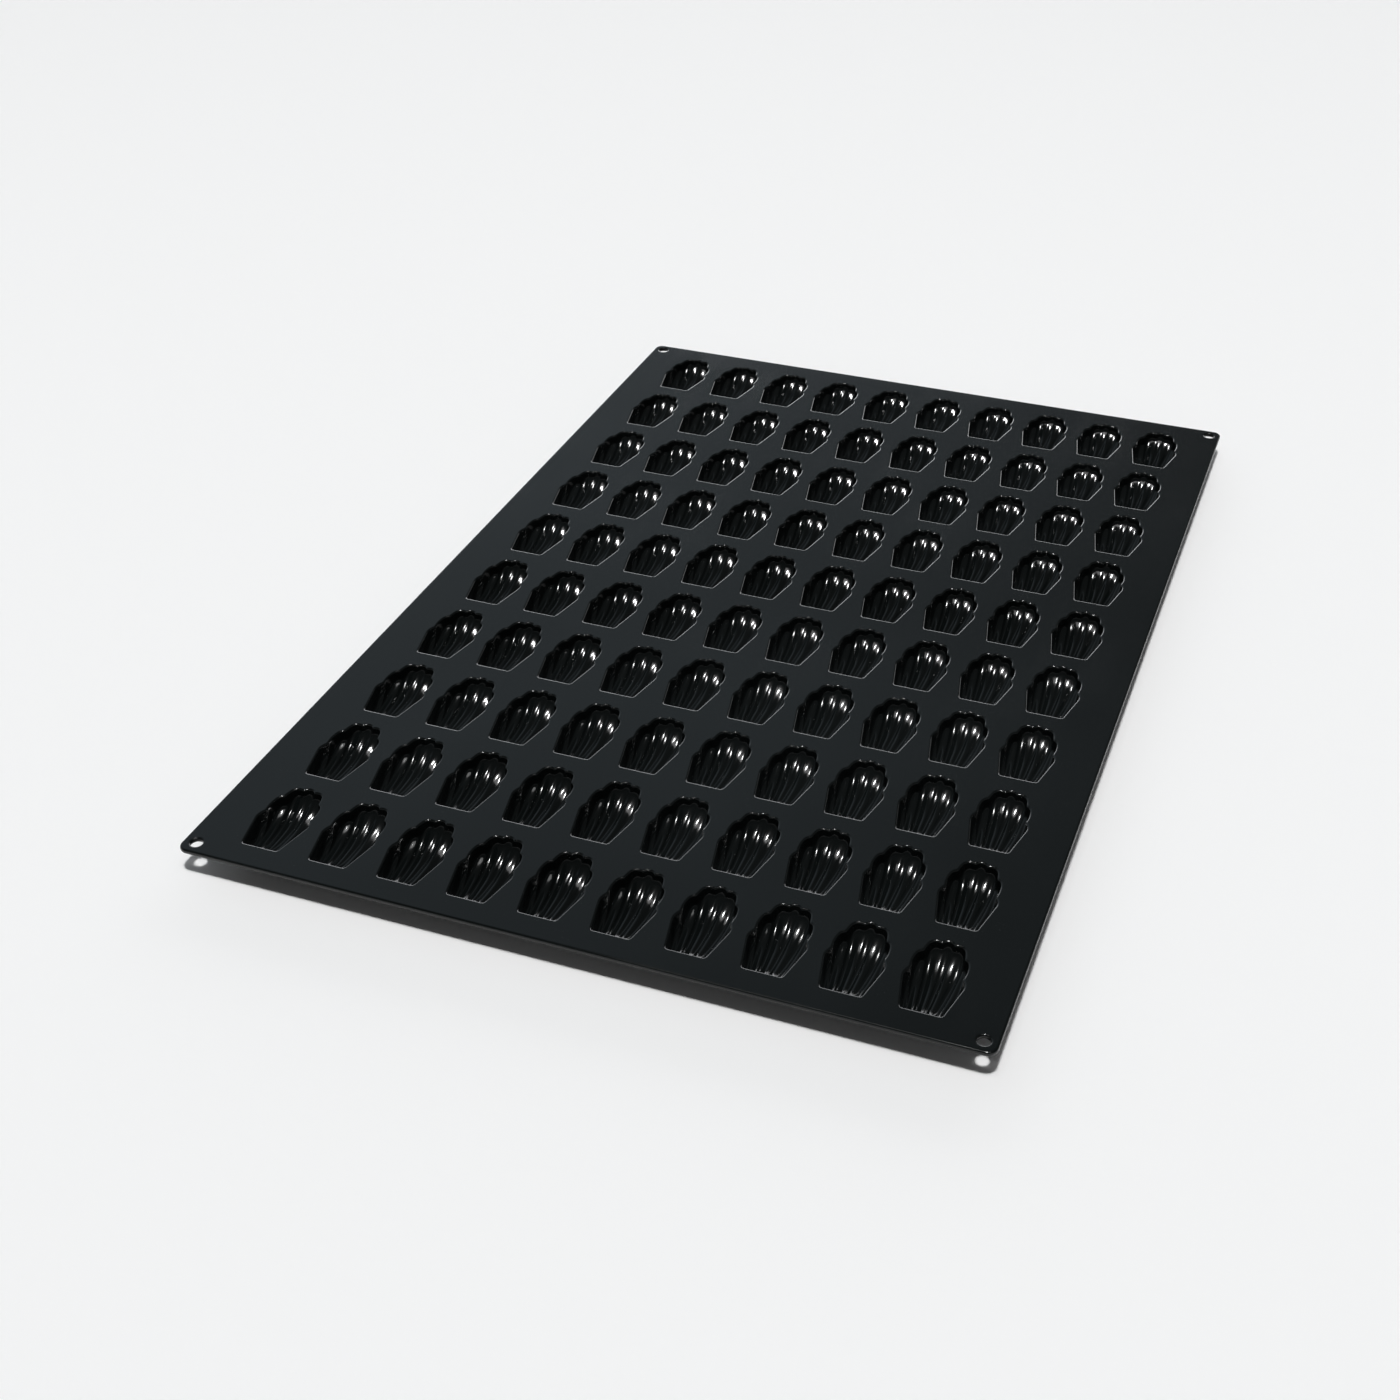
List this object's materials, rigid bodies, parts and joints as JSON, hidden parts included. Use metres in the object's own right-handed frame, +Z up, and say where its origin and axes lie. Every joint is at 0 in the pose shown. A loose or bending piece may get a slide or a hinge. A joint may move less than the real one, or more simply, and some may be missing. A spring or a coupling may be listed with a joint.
{
  "type": "flexible shell-cake baking mat",
  "caption": "Flexible black silicone baking mat with a grid of small fluted shell moulds and a hole in each corner.",
  "frame": {"origin": "below the middle of the mat, on the surface that the shells stand on", "axes": "+Y along the long side, from the heels of the shells towards their fans; +X along the short side; +Z up, out of the shells' mouths"},
  "size_m": [0.4, 0.6, 0.0121],
  "materials": {
    "silicone": "smooth semi-gloss moulded silicone, near black"
  },
  "bodies": {
    "root": {"sheet_strip_01": "silicone", "sheet_strip_02": "silicone", "sheet_strip_03": "silicone", "sheet_strip_04": "silicone", "sheet_strip_05": "silicone", "sheet_strip_06": "silicone", "sheet_strip_07": "silicone", "sheet_strip_08": "silicone", "sheet_strip_09": "silicone", "sheet_strip_10": "silicone", "sheet_strip_11": "silicone", "sheet_lands_row_01": "silicone", "sheet_lands_row_02": "silicone", "sheet_lands_row_03": "silicone", "sheet_lands_row_04": "silicone", "sheet_lands_row_05": "silicone", "sheet_lands_row_06": "silicone", "sheet_lands_row_07": "silicone", "sheet_lands_row_08": "silicone", "sheet_lands_row_09": "silicone", "sheet_lands_row_10": "silicone", "shell_floors_row_01": "silicone", "shell_floors_row_02": "silicone", "shell_floors_row_03": "silicone", "shell_floors_row_04": "silicone", "shell_floors_row_05": "silicone", "shell_floors_row_06": "silicone", "shell_floors_row_07": "silicone", "shell_floors_row_08": "silicone", "shell_floors_row_09": "silicone", "shell_floors_row_10": "silicone", "shell_sides_row_01": "silicone", "shell_sides_row_02": "silicone", "shell_sides_row_03": "silicone", "shell_sides_row_04": "silicone", "shell_sides_row_05": "silicone", "shell_sides_row_06": "silicone", "shell_sides_row_07": "silicone", "shell_sides_row_08": "silicone", "shell_sides_row_09": "silicone", "shell_sides_row_10": "silicone", "shell_ends_row_01": "silicone", "shell_ends_row_02": "silicone", "shell_ends_row_03": "silicone", "shell_ends_row_04": "silicone", "shell_ends_row_05": "silicone", "shell_ends_row_06": "silicone", "shell_ends_row_07": "silicone", "shell_ends_row_08": "silicone", "shell_ends_row_09": "silicone", "shell_ends_row_10": "silicone"}
  },
  "joints": []
}
